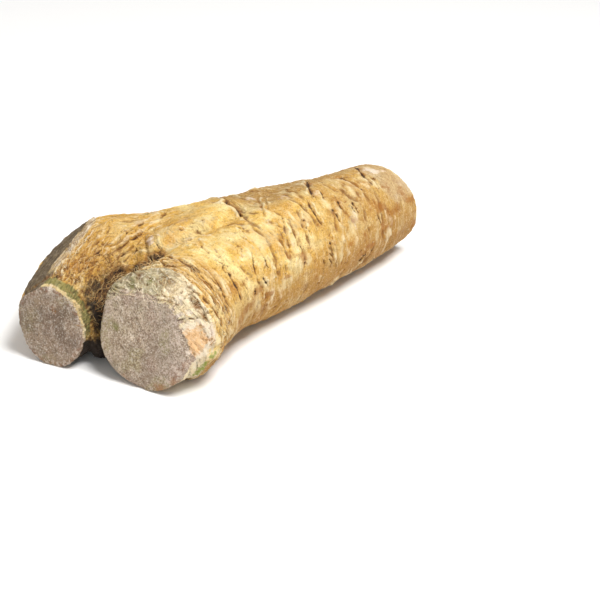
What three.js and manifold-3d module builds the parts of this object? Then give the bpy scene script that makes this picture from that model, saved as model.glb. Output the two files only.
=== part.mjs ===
// A horseradish root, lying on its side. Two stout crown limbs grew side by side, closed up into
// a fork, and run on as one slowly tapering root. The leafy tops and the tail have been cut off,
// and a fourth, slanting cut has taken the outer shoulder off the smaller limb.
//
// Millimetres. +X runs from the cut crowns to the cut tail, +Y to the smaller limb, +Z up.
// The origin is on the surface that the root rests on, under the middle of its box.

import * as THREE from "three";
import { mergeVertices } from "three/addons/utils/BufferGeometryUtils.js";
import Module from "manifold-3d";

const wasm = await Module();
wasm.setup();

// ---- Driving dimensions ----
const ROOT_LENGTH = 211; // from the middle of the large crown's cut face to that of the tail's
const BURIED = 12; // how far a limb runs past its own cut before it is trimmed
const SIDES = 54; // facets around a limb
const STEP_MM = 5.5; // mean facet length along a limb
const CROWDING = 1.5; // above 1, the facets crowd toward the crown end, where the shape changes most
const BLOCK = 600; // a cutting block, larger than the whole root
const UNEVEN = 0.022; // how far a limb's outline strays from round, as a share of its half-width

// Stations along each limb: where its centre is, and its half-width across (y) and up (z).
const LARGE_LIMB = [
  { at: [-BURIED, 1, 24], half: [26, 24] },
  { at: [-2, 0, 26.2], half: [28.4, 27] },
  { at: [3, -0.5, 28.2], half: [30.4, 29.4] },
  { at: [9, -1, 30.2], half: [32, 32] },
  { at: [16, -1, 30.6], half: [32, 32.6] },
  { at: [21, 0.5, 31], half: [29, 29] },
  { at: [27, 1, 31], half: [28.3, 28.3] },
  { at: [50, 4, 31], half: [27.5, 27.5] },
  { at: [95, 3, 31], half: [28.5, 29.5] },
  { at: [140, 0, 31], half: [29, 30] },
  { at: [180, 0, 29], half: [28, 29] },
  { at: [ROOT_LENGTH, 0, 26.5], half: [27, 27] },
  { at: [ROOT_LENGTH + BURIED, 0, 26], half: [26, 26] },
];

const SMALL_LIMB = [
  { at: [-26, 53, 21], half: [18.5, 20] },
  { at: [-16, 55, 21], half: [20, 21.5] },
  { at: [-8, 57.5, 22], half: [22.5, 22.5] },
  { at: [5, 61.5, 24], half: [24.5, 24.5] },
  { at: [30, 69, 28], half: [26.5, 27] },
  { at: [48, 71.5, 29], half: [28, 28.5] },
  { at: [68, 63, 28.5], half: [26, 25] },
  { at: [90, 49, 30], half: [25, 25] },
  { at: [125, 28, 32], half: [25, 24] },
  { at: [165, 10, 32], half: [22, 23] },
  { at: [190, 4, 29], half: [18, 20] },
];

// The flesh that closes the fork between the two limbs.
const FORK = [
  { at: [-3, 38, 9], half: [5, 8] },
  { at: [8, 37, 12], half: [8, 12] },
  { at: [22, 36, 17], half: [10, 16] },
  { at: [41, 36, 25], half: [12, 18] },
  { at: [52, 38, 28], half: [17, 20] },
  { at: [70, 37, 31], half: [24, 25] },
  { at: [100, 29, 33], half: [24, 26] },
  { at: [140, 14, 32], half: [14, 23] },
];

const BUD = { at: [53, 42, 43], half: [9, 6.5, 9] }; // a pale side bud, at the nose of the fork

// Old leaf scars stand round the large crown as low rings.
const SCAR_RINGS = [
  { at: 8, proud: 0.5, wide: 2 },
  { at: 23, proud: 0.7, wide: 2 },
  { at: 30, proud: 0.9, wide: 2.2 },
  { at: 38, proud: 0.8, wide: 3 },
];

// Each cut: a point on the plane and the direction it faces, away from the root.
const LARGE_CROWN_CUT = { at: [-2, 0, 30], facing: [-1, -0.1, 0.2] };
const SMALL_CROWN_CUT = { at: [-16, 55, 22], facing: [-1, -0.2, 0.12] };
const SHOULDER_CUT = { at: [28, 83, 47.5], facing: [-0.3, 0.47, 0.83] };
const TAIL_CUT = { at: [ROOT_LENGTH, 0, 27], facing: [1, 0.1, 0.1] };
const REST = { at: [0, 0, 0], facing: [0, 0, -1] }; // worn flat where the root touches

// ---- Helpers ----

// Turns a closed three.js shape into a solid that can be joined and cut.
const solid = (geometry) => {
  const plain = geometry.clone();
  plain.deleteAttribute("normal");
  plain.deleteAttribute("uv");
  const welded = mergeVertices(plain, 1e-4);
  return new wasm.Manifold(new wasm.Mesh({
    numProp: 3,
    vertProperties: new Float32Array(welded.getAttribute("position").array),
    triVerts: new Uint32Array(welded.getIndex().array),
  }));
};

// Turns a finished solid back into a three.js shape.
const shown = (made) => {
  const mesh = made.getMesh();
  const geometry = new THREE.BufferGeometry();
  geometry.setAttribute("position", new THREE.BufferAttribute(mesh.vertProperties, 3));
  geometry.setIndex(new THREE.BufferAttribute(mesh.triVerts, 1));
  geometry.computeVertexNormals();
  return geometry;
};

// A growing root is never quite round: three slow swells that wander along the limb.
const swell = (angle, x) => 1 + UNEVEN * (
  Math.sin(2 * angle + x / 23) + 0.6 * Math.sin(3 * angle - x / 17) + 0.5 * Math.sin(x / 11 + angle)
);

const ringed = (rings, x) => rings.reduce(
  (sum, { at, proud, wide }) => sum + proud * Math.exp(-(((x - at) / wide) ** 2)), 0,
);

// One limb: a round bar drawn out along a smooth line through its stations.
const limb = (stations, rings = []) => {
  const line = new THREE.CatmullRomCurve3(
    stations.map(({ at }) => new THREE.Vector3(...at)), false, "centripetal",
  );
  const girth = new THREE.CatmullRomCurve3(
    stations.map(({ at, half }) => new THREE.Vector3(half[0], half[1], at[0])), false, "centripetal",
  );
  const steps = Math.round(line.getLength() / STEP_MM);
  const bar = new THREE.CylinderGeometry(1, 1, 1, SIDES, steps);
  const position = bar.getAttribute("position");
  const up = new THREE.Vector3(0, 0, 1);
  for (let i = 0; i < position.count; i += 1) {
    const along = (position.getY(i) + 0.5) ** CROWDING;
    const centre = line.getPoint(along);
    const forward = line.getTangent(along);
    const across = up.clone().cross(forward).normalize();
    const over = forward.clone().cross(across);
    const { x: halfAcross, y: halfUp } = girth.getPoint(along);
    const grown = swell(Math.atan2(position.getX(i), position.getZ(i)), centre.x);
    const proud = ringed(rings, centre.x);
    centre.addScaledVector(across, position.getZ(i) * (halfAcross * grown + proud));
    centre.addScaledVector(over, position.getX(i) * (halfUp * grown + proud));
    position.setXYZ(i, centre.x, centre.y, centre.z);
  }
  return solid(bar);
};

// Everything beyond a cut: a block standing on the cut's plane, on the side it faces.
const beyond = ({ at, facing }) => {
  const block = new THREE.BoxGeometry(BLOCK, BLOCK, BLOCK).translate(0, 0, BLOCK / 2);
  const turn = new THREE.Quaternion().setFromUnitVectors(
    new THREE.Vector3(0, 0, 1), new THREE.Vector3(...facing).normalize(),
  );
  return solid(block.applyQuaternion(turn).translate(...at));
};

// ---- The root ----
const large = limb(LARGE_LIMB, SCAR_RINGS).subtract(beyond(LARGE_CROWN_CUT));
const small = limb(SMALL_LIMB).subtract(beyond(SMALL_CROWN_CUT)).subtract(beyond(SHOULDER_CUT));
const bud = solid(new THREE.SphereGeometry(1, 20, 12).scale(...BUD.half).translate(...BUD.at));
const joined = large.add(small).add(limb(FORK)).add(bud);
const root = joined.subtract(beyond(TAIL_CUT)).subtract(beyond(REST));

const box = root.boundingBox();
const centred = root.translate(-(box.min[0] + box.max[0]) / 2, -(box.min[1] + box.max[1]) / 2, 0);

const bark = new THREE.MeshStandardMaterial({ color: "#d9b26c", roughness: 0.85, metalness: 0 });
const body = new THREE.Mesh(shown(centred), bark);
body.name = "horseradish_root";

const group = new THREE.Group();
group.add(body);
export default group;
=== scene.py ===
# A horseradish root, lying on a pale studio table.
#
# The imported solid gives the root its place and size. The skin starts as a copy of it in small
# even quads. It is relaxed where the two limbs grew together, given a web of bark across their
# fork and pared back round the large crown. Then its bark is raised: scar cords round the collar,
# fibres along the smaller limb, wrinkles and cracks across the body, and dried, faintly fibrous
# faces where the knife went.
#
# Lengths are millimetres measured from under the middle of the large crown's cut face, and turn
# to metres when a mesh is made: x runs back toward the tail, y toward the small limb, and z up.
# A place on a limb is how far it lies behind the cut face and its degrees round the limb, 0 on
# the top line and plus toward y.
import math

import bpy
import numpy as np
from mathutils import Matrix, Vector


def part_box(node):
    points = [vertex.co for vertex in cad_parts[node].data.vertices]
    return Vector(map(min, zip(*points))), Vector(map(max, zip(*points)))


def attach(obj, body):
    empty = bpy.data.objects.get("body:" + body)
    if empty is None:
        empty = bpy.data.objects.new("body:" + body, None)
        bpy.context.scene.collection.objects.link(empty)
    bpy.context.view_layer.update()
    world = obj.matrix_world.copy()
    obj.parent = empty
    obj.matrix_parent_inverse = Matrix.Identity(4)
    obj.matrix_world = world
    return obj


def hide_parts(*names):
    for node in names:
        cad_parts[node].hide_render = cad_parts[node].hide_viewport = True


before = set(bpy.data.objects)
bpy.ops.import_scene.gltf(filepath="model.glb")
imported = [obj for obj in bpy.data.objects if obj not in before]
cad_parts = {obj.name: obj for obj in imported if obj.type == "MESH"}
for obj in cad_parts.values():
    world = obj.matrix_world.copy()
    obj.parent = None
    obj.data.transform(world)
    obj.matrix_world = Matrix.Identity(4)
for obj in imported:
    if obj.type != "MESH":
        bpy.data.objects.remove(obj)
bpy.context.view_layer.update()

MM = 0.001
ROOT = "horseradish_root"
SKIN_PITCH = 0.55  # the side of one quad of the raised skin
SKIN_TRIANGLES = 196000               # what is kept of it, most where the bark is rough
LARGE_FACE_FROM_LOW = (20.52, 33.79, 0.0)  # from the box's low corner to the large crown's face

origin = np.array(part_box(ROOT)[0]) / MM + LARGE_FACE_FROM_LOW

# Each limb's middle line and half-width: x, y, z, half-width.
LARGE_LIMB = np.array([
    (-12, 1, 24, 25.0), (-2, 0, 26.2, 27.7), (3, -0.5, 28.2, 29.9), (9, -1, 30.2, 32.0),
    (16, -1, 30.6, 32.3), (21, 0.5, 31, 29.0), (27, 1, 31, 28.3), (50, 4, 31, 27.5),
    (95, 3, 31, 29.0), (140, 0, 31, 29.5), (180, 0, 29, 28.5), (211, 0, 26.5, 27.0),
    (223, 0, 26, 26.0),
], float)
SMALL_LIMB = np.array([
    (-26, 53, 21, 19.2), (-16, 55, 21, 20.7), (-8, 57.5, 22, 22.5), (5, 61.5, 24, 24.5),
    (30, 69, 28, 26.7), (48, 71.5, 29, 28.2), (68, 63, 28.5, 25.5), (90, 49, 30, 25.0),
    (125, 28, 32, 24.5), (165, 10, 32, 22.5), (190, 4, 29, 19.0),
], float)
LARGE_FACE_ALONG = 12    # the cut faces' distance from the start of each line
SMALL_FACE_ALONG = 10
LARGE_ROUND = 29.0       # the half-width at which each limb's bark is laid out flat
SMALL_ROUND = 25.0
ALL_ROUND = (-180, 180)  # degrees, right round a limb
# The knife's four planes: a point on each and the way it faces.
CUTS = {
    "large_crown": ((-2, 0, 30), (-1, -0.1, 0.2)),
    "small_crown": ((-16, 55, 22), (-1, -0.2, 0.12)),
    "shoulder": ((28, 83, 47.5), (-0.3, 0.47, 0.83)),
    "tail": ((211, 0, 27), (1, 0.1, 0.1)),
}


# ---- Plain arithmetic ----
def linear(hex_colour):
    """An sRGB hex colour as the linear colour that shaders want."""
    channels = [int(hex_colour[i:i + 2], 16) / 255 for i in (1, 3, 5)]
    return tuple(c / 12.92 if c <= 0.04045 else ((c + 0.055) / 1.055) ** 2.4 for c in channels) + (1.0,)


def ease(low, high, x):
    """0 below low, 1 above high, and smooth between. low may be above high."""
    t = np.clip((x - low) / (high - low), 0, 1)
    return t * t * (3 - 2 * t)


def bell(x, wide):
    """1 where x is 0, fading to nothing at about twice the width on both sides."""
    return np.exp(-(x / wide) ** 2)


shuffle = np.random.default_rng(11)
NOISE_GAIN = 1.7  # brings the noise's peaks to about 1
PERMUTED = np.tile(shuffle.permutation(256), 2)
SLOPES = shuffle.normal(size=(256, 3))
SLOPES /= np.linalg.norm(SLOPES, axis=1, keepdims=True)


def noise(points, scale, offset=0.0):
    """Smooth noise, about -1 to 1. scale is the size of its lumps in mm, or one size per axis."""
    p = points / np.asarray(scale, float) + offset * np.array([1.7, 3.1, 5.3])
    cell = np.floor(p).astype(np.int64)
    part = p - cell
    fade = part ** 3 * (part * (part * 6 - 15) + 10)
    total = np.zeros(len(p))
    for corner in np.ndindex(2, 2, 2):
        i, j, k = ((cell + corner) & 255).T
        slope = SLOPES[PERMUTED[PERMUTED[PERMUTED[i] + j] + k]]
        weight = np.prod(np.where(corner, fade, 1 - fade), axis=1)
        total += weight * ((part - corner) * slope).sum(1)
    return total * NOISE_GAIN


def creases(points, scale, offset=0.0):
    """Noise folded into sharp ridges: 1 on a ridge, 0 well away from one."""
    return 1 - np.clip(np.abs(noise(points, scale, offset)) * 2.2, 0, 1)


# ---- Meshes and objects ----
def put(name, data):
    """A new object in the scene."""
    made = bpy.data.objects.new(name, data)
    bpy.context.collection.objects.link(made)
    return made


def finish_mesh(mesh, values_at, material):
    """Shades a mesh smoothly, and gives it one material and the values that the material reads."""
    for name, values in values_at.items():
        kind, field = ("FLOAT", "value") if values.ndim == 1 else ("FLOAT_VECTOR", "vector")
        kept = mesh.attributes.new(name, kind, "POINT")
        kept.data.foreach_set(field, values.astype(np.float32).ravel())
    mesh.polygons.foreach_set("use_smooth", np.ones(len(mesh.polygons), bool))
    mesh.materials.clear()
    mesh.materials.append(material)
    mesh.update()


def even_mesh(node, pitch):
    """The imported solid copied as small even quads."""
    copy = put("even_copy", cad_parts[node].data.copy())
    remesh = copy.modifiers.new("even_quads", "REMESH")
    remesh.mode = "VOXEL"
    remesh.voxel_size = pitch * MM
    found = copy.evaluated_get(bpy.context.evaluated_depsgraph_get())
    mesh = bpy.data.meshes.new_from_object(found)
    bpy.data.objects.remove(copy)
    return mesh


def read(collection, name, width, kind=np.float32):
    """One value, or a row of them, from every vertex or edge of a mesh."""
    values = np.empty(len(collection) * width, kind)
    collection.foreach_get(name, values)
    return values.reshape(-1, width) if width > 1 else values


def relaxed(points, edges, weight, rounds):
    """Each point moved toward the middle of its neighbours, by its weight, round after round."""
    used = weight > 0.001
    near = edges[used[edges].any(1)]
    first, second = near.T
    ends = np.concatenate([first, second])
    starts = np.concatenate([second, first])
    size = len(points)
    count = np.maximum(np.bincount(ends, minlength=size), 1)
    points = points.copy()
    share = np.where(used, weight, 0)[:, None]
    for _ in range(rounds):
        middle = np.stack([np.bincount(ends, points[starts, k], size) for k in range(3)], 1)
        points += share * (middle / count[:, None] - points)
    return points


def place(mesh, points):
    """Puts a mesh's vertices at points in millimetres."""
    mesh.vertices.foreach_set("co", ((points + origin) * MM).astype(np.float32).ravel())
    mesh.update()


mesh = even_mesh(ROOT, SKIN_PITCH)
points = read(mesh.vertices, "co", 3).astype(float) / MM - origin
edges = read(mesh.edges, "vertices", 2, np.int32)


# ---- Where each point lies on its limb ----
def on_limb(points, line):
    """How far along the limb each point is, its angle from the top line, how far out it is from
    the middle line, and the limb's half-width there."""
    fine = np.arange(line[0, 0], line[-1, 0], 0.5)
    soft = np.ones(17) / 17  # rounds off the middle line's corners
    padded = [np.pad(np.interp(fine, line[:, 0], line[:, k]), 8, "edge") for k in (1, 2)]
    course = np.stack([fine] + [np.convolve(row, soft, "valid") for row in padded], 1)
    travelled = np.concatenate([[0], np.cumsum(np.linalg.norm(np.diff(course, axis=0), axis=1))])
    ahead = np.gradient(course, axis=0)
    ahead /= np.linalg.norm(ahead, axis=1, keepdims=True)
    at = np.clip(points[:, 0], fine[0], fine[-1])
    for _ in range(5):
        middle = np.stack([np.interp(at, fine, course[:, k]) for k in range(3)], 1)
        forward = np.stack([np.interp(at, fine, ahead[:, k]) for k in range(3)], 1)
        step = ((points - middle) * forward).sum(1)
        at = np.clip(at + step * forward[:, 0], fine[0], fine[-1])
    off = points - middle
    across = np.cross((0, 0, 1), forward)
    across /= np.linalg.norm(across, axis=1, keepdims=True)
    side, up = (off * across).sum(1), (off * np.cross(forward, across)).sum(1)
    along = np.interp(at, fine, travelled)
    half = np.interp(at, fine, np.interp(fine, line[:, 0], line[:, 3]))
    return along, np.arctan2(side, up), np.hypot(side, up), half


def beyond(points, cut):
    """How far each point stands out past a cut's plane."""
    at, facing = CUTS[cut]
    facing = np.array(facing, float)
    return (points - at) @ (facing / np.linalg.norm(facing))


def far_from(points, route, reach):
    """How far each point is from a route through space, up to reach."""
    route = np.array(route, float)
    steps = np.linspace(0, len(route) - 1, 10 * len(route))
    spots = np.stack([np.interp(steps, range(len(route)), route[:, k]) for k in range(3)], 1)
    near = np.flatnonzero(((points > route.min(0) - reach) & (points < route.max(0) + reach)).all(1))
    far = np.full(len(points), float(reach))
    far[near] = np.linalg.norm(points[near, None] - spots, axis=2).min(1).clip(max=reach)
    return far


class Bark:
    """One limb's bark laid out flat: how far along the limb a point is and how far round it.
    How much of a point is this limb's own bark, own_bark, is set once the cuts are known."""

    def __init__(self, points, line, face_along, half_round):
        self.half_round = half_round
        along, self.angle, self.out, self.half = on_limb(points, line)
        self.along = along - face_along
        self.arc = self.angle * half_round
        self.order = np.argsort(self.along)
        self.ranked = self.along[self.order]

    def own(self):
        """The points straightened out along the limb, for grain that follows it."""
        return np.stack([self.along, self.out * np.sin(self.angle), self.out * np.cos(self.angle)], 1)

    def flat(self, route):
        """A route of millimetres along and degrees round, laid out flat."""
        return np.array(route, float) * (1, math.radians(self.half_round))

    def under(self, spots):
        """The skin's own point nearest to each flat spot, or -1 where there is none."""
        found = []
        for along, arc in spots:
            first, last = np.searchsorted(self.ranked, (along - 1, along + 1))
            index = self.order[first:last]
            index = index[self.own_bark[index] > 0.3]
            far = np.hypot(self.along[index] - along, self.arc[index] - arc)
            found.append(index[far.argmin()] if len(far) and far.min() < 1.5 else -1)
        return np.array(found)

    def near(self, path, reach):
        """The points within reach of a flat path: how far off it they are, plus to its left, and
        their share of the way along it."""
        first, last = np.searchsorted(self.ranked, (path[:, 0].min() - reach, path[:, 0].max() + reach))
        index = self.order[first:last]
        turn = 2 * math.pi * self.half_round
        middle = path[:, 1].mean()
        arc = (self.arc[index] - middle + turn / 2) % turn - turn / 2 + middle
        keep = (arc > path[:, 1].min() - reach) & (arc < path[:, 1].max() + reach)
        index, arc = index[keep], arc[keep]
        steps = np.diff(path, axis=0)
        lengths = np.linalg.norm(steps, axis=1)
        begun = np.concatenate([[0], np.cumsum(lengths)])
        off = np.stack([self.along[index], arc], 1)[:, None] - path[None, :-1]
        share = np.clip((off * steps).sum(2) / lengths ** 2, 0, 1)
        apart = off - share[..., None] * steps
        far = np.hypot(apart[..., 0], apart[..., 1])
        best = far.argmin(1)
        row = np.arange(len(index))
        left = steps[best, 0] * apart[row, best, 1] - steps[best, 1] * apart[row, best, 0]
        way = (begun[best] + share[row, best] * lengths[best]) / begun[-1]
        return index, far[row, best] * np.where(left > 0, 1, -1), way


# ---- The limbs relaxed into each other ----
past = {name: beyond(points, name) for name in CUTS}
near_knife = np.maximum.reduce([bell(past[name], 1.6) for name in CUTS])
points = relaxed(points, edges, 0.75 * (1 - 0.65 * near_knife), 14)
x, y, z = points.T
# The limbs are joined behind the crotch, between their two middle lines.
fork = ease(34, 44, x) * ease(175, 140, x) * ease(6, 16, y) * ease(75, 60, y)
points = relaxed(points, edges, fork * 0.9, 120)
# A web of bark stands across the fork, and the large crown's top dips toward it.
WEB_RISE = 5.5
CROWN_DIP = 2.8
x, y, z = points.T
web = bell(np.hypot(x - 55, y - 31), 13) * ease(34, 44, z)
dip = bell(np.hypot(x - 15, y - 13), 15) * ease(42, 54, z)
points[:, 2] += WEB_RISE * web - CROWN_DIP * dip


# ---- The large crown pared back ----
FACE_MIDDLE_Z = 27  # the height of the face's middle
BEVEL_BACK = 22     # the x that the bevel never reaches
CROWNS_PART_Y = 33  # the y between the two crowns
# How far out from its middle the face is flat, by degrees from the top. Past that it is a bevel.
FLAT_REACH = (
    (-180, 40), (-155, 33), (-135, 29), (-115, 27), (-90, 25), (-78, 23), (-60, 22.5), (-45, 24),
    (-24, 22), (0, 20.5), (20, 22), (48, 26), (72, 31), (100, 40), (180, 40),
)
x, y, z = points.T
angle = np.degrees(np.arctan2(y, z - FACE_MIDDLE_Z))
flat_reach = np.interp(angle, *np.array(FLAT_REACH, float).T)
over = np.maximum(np.hypot(y, z - FACE_MIDDLE_Z) - flat_reach, 0)
fallen = 0.4 * over + 0.03 * over ** 2  # how far the bevel has dropped behind the face
# What the knife took off, measured back along the root.
pare = np.maximum(fallen + beyond(points, "large_crown"), 0) * (x < BEVEL_BACK) * (y < CROWNS_PART_Y)
points[:, 0] += pare * (over > 0)
past = {name: beyond(points, name) for name in CUTS}
bevel = ease(0.2, 1.6, over) * ease(-2.0, -0.6, fallen + past["large_crown"])
bevel *= (x < BEVEL_BACK) * (y < CROWNS_PART_Y)
points = relaxed(points, edges, 0.5 * ease(0, 0.6, pare), 6)


# ---- Which limb each point is on, and where the crotch lies ----
large = Bark(points, LARGE_LIMB, LARGE_FACE_ALONG, LARGE_ROUND)
small = Bark(points, SMALL_LIMB, SMALL_FACE_ALONG, SMALL_ROUND)
x, y, z = points.T
# How far a point's skin is the small limb's, 0 to 1.
on_small = ease(-3, 3, (large.out - large.half) - (small.out - small.half)) * ease(110, 85, x)
turned = np.degrees(large.angle)       # round the large limb
side_turned = np.degrees(small.angle)  # round the small limb
gap = (large.out - large.half) + (small.out - small.half)  # from one limb's skin to the other limb
# Painted shade: the crotch is darkened between the crowns and near the table, less so at the small crown's
# rim.
lit_rim = on_small * ease(12, 6, small.along)
crotch = ease(26, 7, gap + 3 * noise(points, 4, 50)) * (1 - 0.65 * lit_rim)
crotch = np.maximum(crotch, ease(36, 24, gap) * ease(22, 12, z)) * ease(44, 28, x)
# A crevice runs over the large crown's shoulder, from the crotch up to the foot of the web, and the same
# painted shade darkens it.
CREVICE = (
    (11, 41, 35), (17, 43, 37), (29, 44, 38.5), (35, 40.5, 40), (38, 37, 43), (43.5, 30, 47),
)
crevice = far_from(points, CREVICE, 9)
crotch = np.maximum(crotch, 0.78 * ease(5.5, 2.0, crevice + 1.8 * noise(points, 2.5, 60)))
LIMB_WAY = (0.97, 0.22, 0.11)  # the small limb's direction under the shoulder's cut
# How far across that cut a point is, from its middle toward the body.
toward_body = (points - CUTS["shoulder"][0]) @ np.cross(LIMB_WAY, CUTS["shoulder"][1])


# ---- Marks: how much of each look a point has, 0 to 1 ----
on_large_crown = (y < 34) * (x < 20)
on_small_crown = (y > 30) * (x < 10)
on_cut = {name: ease(-0.9, -0.35, past[name]) for name in CUTS}
face_large = on_cut["large_crown"] * on_large_crown * (1 - bevel)
face_small = on_cut["small_crown"] * on_small_crown
face_shoulder = on_cut["shoulder"]
face_tail = on_cut["tail"]
frayed = 1.4 * noise(points, 5, 40) + 1.1 * noise(points, 1.8, 41)  # a ragged edge's millimetres
torn = face_shoulder * ease(2, 8, toward_body + 1.6 * frayed) * ease(-8, 6, x)
cut = np.maximum.reduce([face_large, face_small, face_shoulder, face_tail])
bark = 1 - cut
large.own_bark = bark * (1 - on_small)
small.own_bark = bark * on_small
body = large.own_bark * ease(38, 52, large.along)
shelf = large.own_bark * (1 - bevel) * ease(12, 8, large.along)  # the bark just behind the bevel
shelf *= ease(-160, -140, turned) * ease(80, 60, turned)
collar = large.own_bark * (1 - ease(32, 44, large.along)) * (1 - bevel) * (1 - shelf)
fibrous = small.own_bark * ease(100, 75, x)
scraped = bark * ease(186, 192, x + 3 * noise(points, 9, 20))  # the top of the tail, rubbed pale
scraped *= ease(-75, -50, turned) * ease(120, 90, turned)

# Just behind the small crown's cut, its skin is cream and then moss green.
behind = past["small_crown"] + 0.8 * frayed
ring_side = small.own_bark * ease(-120, -80, side_turned) * ease(60, 35, side_turned) * (x < 12)
marks = {name: np.zeros(len(points)) for name in ("crack", "stain", "pale", "lime")}
marks["cream"] = ring_side * bell(behind + 2.0, 1.5)
marks["moss"] = ring_side * ease(-8.5, -6, behind) * ease(-2, -3.5, behind)

# Millimetres that each point will be raised.
swell = bark * (0.9 * noise(points, 34) + 0.6 * noise(points, 14, 1))  # by lumps, folds and valleys
low = np.zeros(len(points))   # by the deepest crack, below 0
high = np.zeros(len(points))  # by the highest lip or cord


# ---- Cracks, wrinkles, cords and patches ----
def mark(name, strength, where=slice(None)):
    """Raises a mark to a strength, where it is weaker."""
    marks[name][where] = np.maximum(marks[name][where], strength)


TINT_SPREAD = {"stain": 2.2, "crack": 0.75}  # a tint's width for a crack 1 wide


def stroke(limb, path, wide, deep, lip=0.0, everywhere=False, **tints):
    """One crack along a flat path, or a raised cord if deep is below 0. A lip stands up along its
    left side, or its right side if lip is below 0. A tint gives a mark's strength along it."""
    index, off, way = limb.near(path, 4 * wide + 1)
    if not len(index):
        return
    # It runs out at both ends, keeps to its own limb, and wavers in depth and width.
    held = tapered(way, 0.004)
    held *= ease(9, 5, (limb.out - limb.half)[index]) if everywhere else limb.own_bark[index]
    held *= 0.75 + 0.25 * np.sin(way * 23 + path[0, 0])
    width = wide * (0.85 + 0.3 * np.sin(way * 17 + path[0, 1]))
    middle = bell(off, width)
    if deep > 0:
        low[index] = np.minimum(low[index], -deep * held * middle)
    else:
        high[index] = np.maximum(high[index], -deep * held * middle)
    if lip:
        beside = bell(off * np.sign(lip) - 2.1 * width, 1.3 * width) * (off * lip > 0)
        high[index] = np.maximum(high[index], abs(lip) * held * beside)
        mark("cream", held * beside * min(0.8, abs(lip)), index)
    for name, strength in tints.items():
        mark(name, strength * held * bell(off, width * TINT_SPREAD.get(name, 1.0)), index)


def tapered(way, end=0.0):
    """Full at the middle of a route and running out at its ends. The way is from 0 to 1."""
    return np.sqrt(np.sin(np.pi * np.clip(way, end, 1 - end)))


def wander(start, heading, length, wobble, draw):
    """A flat path that sets off on a heading in degrees, 0 along the limb, and wanders."""
    count = max(4, int(length / 1.6))
    turns = np.cumsum(draw.normal(size=count)) * wobble / math.sqrt(count)
    course = math.radians(heading) + turns - turns.mean()
    steps = np.stack([np.cos(course), np.sin(course)], 1) * length / count
    path = np.concatenate([[(0, 0)], np.cumsum(steps, axis=0)])
    return path - path.mean(0) + start


def patch(name, centre, radius, strength):
    """A ragged patch of one mark on the skin."""
    far = np.linalg.norm(points - centre, axis=1)
    near = far < 1.8 * radius
    ragged = 1 + 0.5 * noise(points[near], radius * 0.55, radius) + 0.4 * noise(points[near], 1.6, 3)
    mark(name, strength * ease(radius, 0.1 * radius, far[near] * ragged), near)


def pit(limb, along, degrees, radius, deep):
    """A dark round scar where a rootlet broke off, with a low rim."""
    at = limb.under(limb.flat([(along, degrees)]))[0]
    far = np.linalg.norm(points - points[at], axis=1)
    near = np.flatnonzero(far < 3.5 * radius)
    far = far[near] * (1 + 0.3 * noise(points[near], radius, 6))
    low[near] = np.minimum(low[near], -deep * bell(far, radius * 0.8))
    high[near] = np.maximum(high[near], 0.5 * deep * bell(far - 1.7 * radius, 0.6 * radius))
    mark("crack", bell(far, radius * 0.75), near)
    mark("stain", 0.8 * bell(far, radius * 2), near)


def strew(limb, count, along, degrees, heading, length, wide, deep, wobble=0.35, seed=0, crowd=2.0, **more):
    """Many strokes of one kind, strewn over a stretch of a limb: a count, then the range, as (least,
    most), of how far along, degrees round, heading, length, width and depth. The lower crowd is,
    the more they keep to a few clusters. A range in more is drawn for each stroke too."""
    draw = np.random.default_rng(seed)
    starts = np.stack([draw.uniform(*along, count), draw.uniform(*degrees, count)], 1)
    starts[:, 1] = np.radians(starts[:, 1]) * limb.half_round
    gathered = noise(np.column_stack([starts, np.full(count, seed * 7.0)]), 15.0) > 1 - crowd
    for start, kept in zip(starts, gathered):
        size, width, depth, turn = (draw.uniform(*span) for span in (length, wide, deep, heading))
        extra = {name: draw.uniform(*span) for name, span in more.items()}
        if kept:
            stroke(limb, wander(start, turn, size, wobble, draw), width, depth, **extra)


def collar_scars():
    """Cords and brown crevices round the neck of the large crown, where leaves once grew."""
    strew(large, 120, (12, 38), (-150, 70), (84, 96), (18, 55), (0.7, 1.3), (-1.0, -0.35), seed=1,
          wobble=0.25)
    strew(large, 100, (14, 34), (-150, 75), (84, 97), (10, 40), (0.45, 0.9), (0.8, 1.9), seed=2,
          wobble=0.3, lip=(-0.8, 0.8), crack=(0.2, 0.9), stain=(0.5, 1.0))
    strew(large, 110, (12, 46), (-150, 70), (75, 105), (3, 13), (0.4, 0.6), (0.4, 1.2), seed=3,
          crack=(0.1, 0.8), stain=(0.1, 0.9))
    strew(large, 150, (-2, 14), (-150, 80), (85, 95), (6, 30), (0.5, 0.8), (-0.5, -0.15), seed=4,
          wobble=0.2)
    strew(large, 150, (-1, 14), (-110, 80), (82, 98), (2, 10), (0.4, 0.5), (0.3, 0.8), seed=5,
          wobble=0.2, crack=(0.0, 0.55), stain=(0.0, 0.3))
    # The scars that show most, from the fork round to the underside: route, depth and lip.
    for route, deep, lip in (
        (((44, 77), (47, 66), (34, 36), (24, 10), (24, -7), (23, -24)), 1.9, -0.7),
        (((23, -24), (21, -40), (20, -54), (19, -67), (18, -81), (17, -100)), 1.7, -0.9),
        (((45, 58), (34, 16), (31, -3), (30, -21), (29, -38), (29, -52), (28, -67)), 1.6, 0.8),
        (((38, -2), (36, -18), (35, -34), (34, -50), (33, -67), (34, -85)), 1.4, 0.7),
        (((47, -38), (45, -54), (45, -69), (45, -85)), 0.9, 0.5),
        (((26, -75), (27, -88), (29, -101), (30, -118)), 1.4, 0.6),
    ):
        stroke(large, large.flat(route), 0.9, deep, lip, crack=0.9, stain=1.0)


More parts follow.
